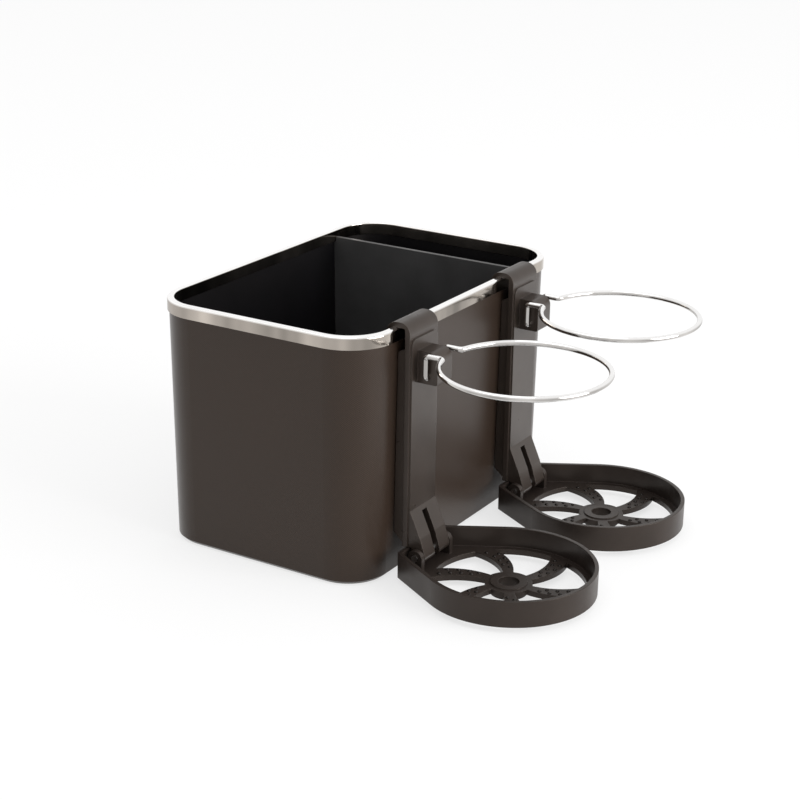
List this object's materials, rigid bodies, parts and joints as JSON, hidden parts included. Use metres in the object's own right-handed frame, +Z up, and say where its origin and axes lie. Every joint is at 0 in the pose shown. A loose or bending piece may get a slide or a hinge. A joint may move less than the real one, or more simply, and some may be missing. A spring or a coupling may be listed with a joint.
{
  "type": "car armrest box",
  "caption": "Drafted rectangular storage tub with a bright rim, a drop-in divider and folding cup holders, each a wire ring over a spoked tray, hung on its long side.",
  "frame": {"origin": "middle of the tub's underside, on the surface that it stands on", "axes": "+Z up, +X across the tub towards the cup holders, +Y along the tub towards the divider"},
  "size_m": [0.2071, 0.1757, 0.1174],
  "materials": {
    "tub_plastic": "satin with a fine woven grain",
    "trim_chrome": "bright",
    "divider_plastic": "satin",
    "bracket_plastic": "satin",
    "ring_chrome": "bright",
    "tray_plastic": "satin",
    "pin_steel": "plain"
  },
  "bodies": {
    "box": {"storage_tub": "tub_plastic", "rim_trim": "trim_chrome", "divider": "divider_plastic", "near_bracket": "bracket_plastic", "far_bracket": "bracket_plastic"},
    "near_ring": {"near_ring": "ring_chrome"},
    "near_tray": {"near_tray": "tray_plastic", "near_hinge_pin": "pin_steel"},
    "far_ring": {"far_ring": "ring_chrome"},
    "far_tray": {"far_tray": "tray_plastic", "far_hinge_pin": "pin_steel"}
  },
  "joints": [
    {"name": "near_tray_fold", "type": "hinge", "parent": "box", "child": "near_tray", "pos_m": [0.0685, -0.0495, 0.0112], "axis": [0, -1, 0], "range_deg": [0, 90]},
    {"name": "near_ring_fold", "type": "hinge", "parent": "box", "child": "near_ring", "pos_m": [0.069, -0.0495, 0.0932], "axis": [0, 1, 0], "range_deg": [0, 90]},
    {"name": "far_tray_fold", "type": "hinge", "parent": "box", "child": "far_tray", "pos_m": [0.0685, 0.0415, 0.0112], "axis": [0, -1, 0], "range_deg": [0, 90]},
    {"name": "far_ring_fold", "type": "hinge", "parent": "box", "child": "far_ring", "pos_m": [0.069, 0.0415, 0.0932], "axis": [0, 1, 0], "range_deg": [0, 90]}
  ]
}
